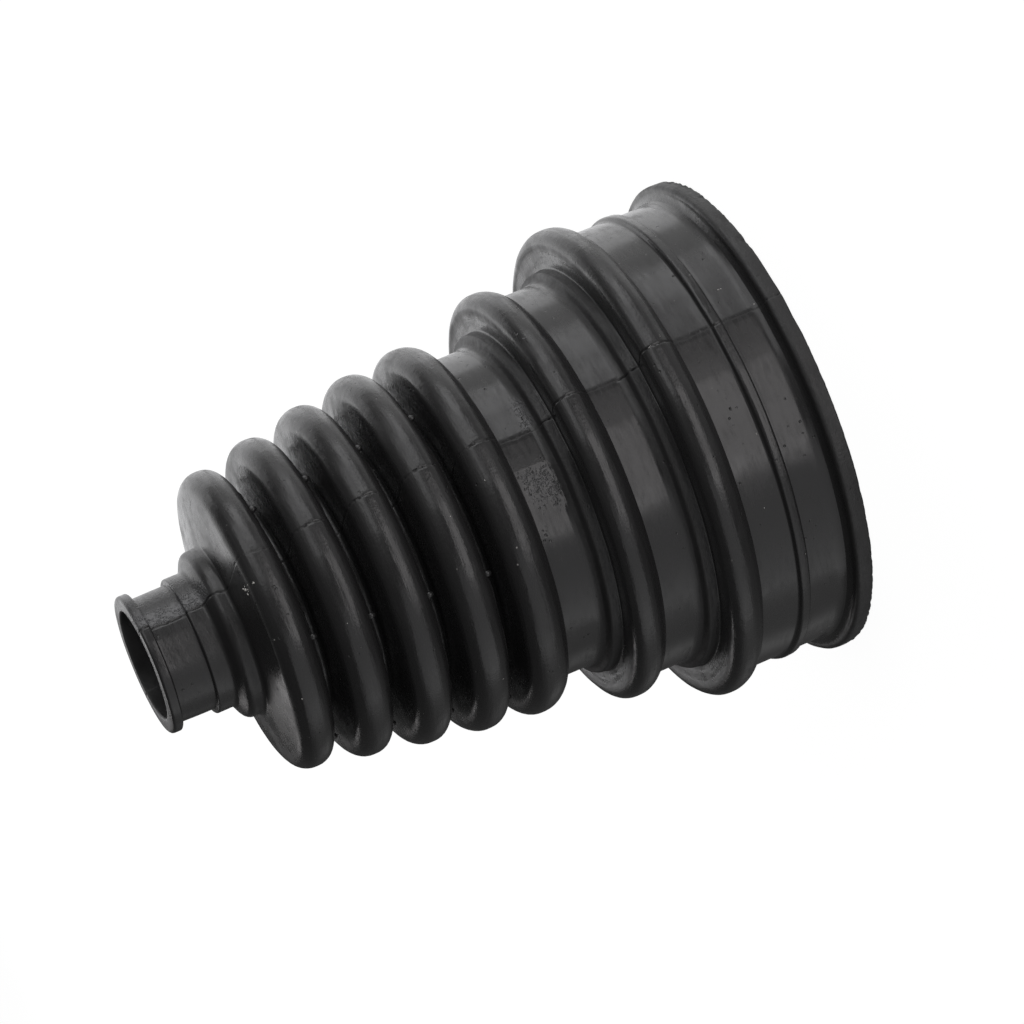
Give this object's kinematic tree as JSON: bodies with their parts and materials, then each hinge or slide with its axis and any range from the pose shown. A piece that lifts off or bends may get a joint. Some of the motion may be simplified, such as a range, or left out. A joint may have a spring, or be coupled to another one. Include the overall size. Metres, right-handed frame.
{
  "type": "cv joint boot",
  "caption": "Tapered moulded rubber bellows boot that seals a drive shaft joint, with a narrow clamped neck, ring folds and a wide rimmed end.",
  "frame": {"origin": "centre of the large rim's face, on which the boot stands", "axes": "+Z along the boot's axis, from the large rim up to the small neck"},
  "size_m": [0.09, 0.09, 0.12],
  "materials": {
    "rubber": "satin"
  },
  "bodies": {
    "root": {"boot": "rubber"}
  },
  "joints": []
}
